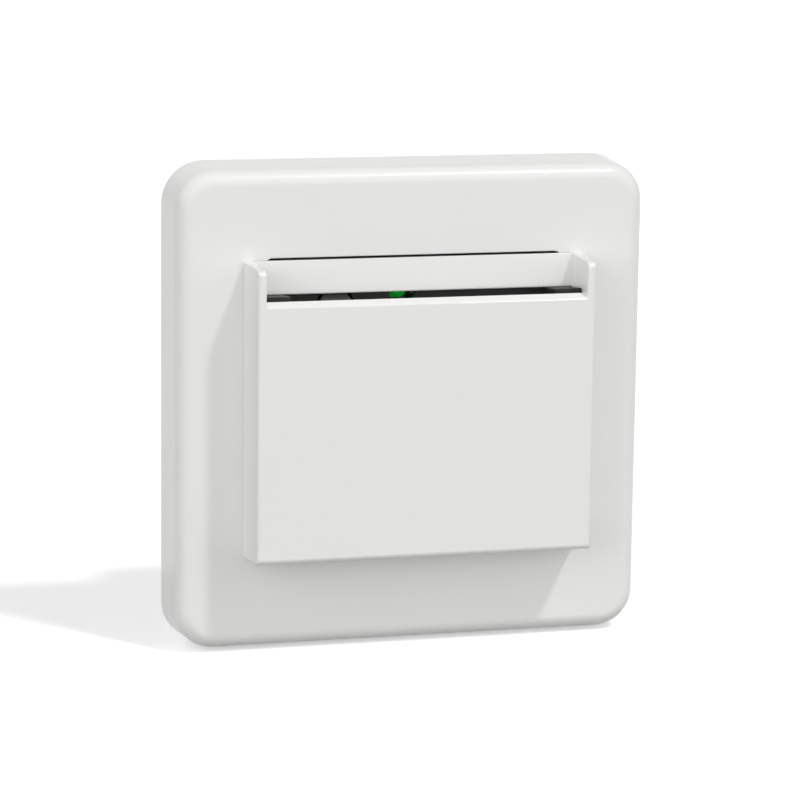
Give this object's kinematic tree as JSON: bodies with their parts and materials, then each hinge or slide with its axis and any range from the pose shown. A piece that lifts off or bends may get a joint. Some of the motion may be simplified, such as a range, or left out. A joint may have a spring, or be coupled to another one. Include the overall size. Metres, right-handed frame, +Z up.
{
  "type": "hotel key card switch",
  "caption": "Square white wall switch with a card pocket on its front: a card pushed down the slot swings a lever that closes a contact, and a green lamp shows the slot.",
  "frame": {"origin": "middle of the plate on the wall plane, which is also the middle of the box screw circle", "axes": "+X to the right seen from the room, +Y into the wall, +Z up"},
  "size_m": [0.082, 0.0398, 0.082],
  "materials": {
    "white_plastic": "gloss",
    "dark_plastic": "matt",
    "lever_plastic": "satin",
    "base_plastic": "matt",
    "plunger_plastic": "satin",
    "zinc_steel": "satin",
    "spring_steel": "gloss",
    "strip_brass": "satin",
    "contact_silver": "satin",
    "green_lens": "gloss",
    "board_green": "satin",
    "resistor_tan": "satin",
    "diode_black": "satin"
  },
  "bodies": {
    "switch": {"frame_plate": "white_plastic", "card_holder": "white_plastic", "card_guide": "dark_plastic", "guide_screws": "zinc_steel", "support_frame": "zinc_steel", "frame_rivets": "zinc_steel", "switch_base": "base_plastic", "lever_pin": "spring_steel", "lever_spring": "spring_steel", "return_spring": "spring_steel", "line_strip": "strip_brass", "load_strip": "strip_brass", "neutral_strip": "strip_brass", "fixed_contacts": "contact_silver", "terminal_blocks": "strip_brass", "terminal_screws": "zinc_steel", "led": "green_lens", "led_leads": "spring_steel", "led_board": "board_green", "led_resistor": "resistor_tan", "led_diode": "diode_black", "board_pins": "strip_brass"},
    "lever": {"card_lever": "lever_plastic"},
    "plunger": {"plunger": "plunger_plastic", "contact_bridge": "strip_brass", "bridge_contacts": "contact_silver", "bridge_spring": "spring_steel"}
  },
  "joints": [
    {"name": "lever_hinge", "type": "hinge", "parent": "switch", "child": "lever", "pos_m": [-0.0136, -0.00675, 0.0208], "axis": [1, 0, 0], "range_deg": [0, 6], "deforming": ["lever_spring"]},
    {"name": "plunger_slide", "type": "slide", "parent": "switch", "child": "plunger", "axis": [0, 1, 0], "range_m": [0, 0.00151], "stiffness_N_per_m": 144, "springref_m": -0.0043, "deforming": ["return_spring"]}
  ],
  "couplings": [
    {"joint": "lever_hinge", "follows": "plunger_slide", "rad_per_m": 69.279}
  ]
}
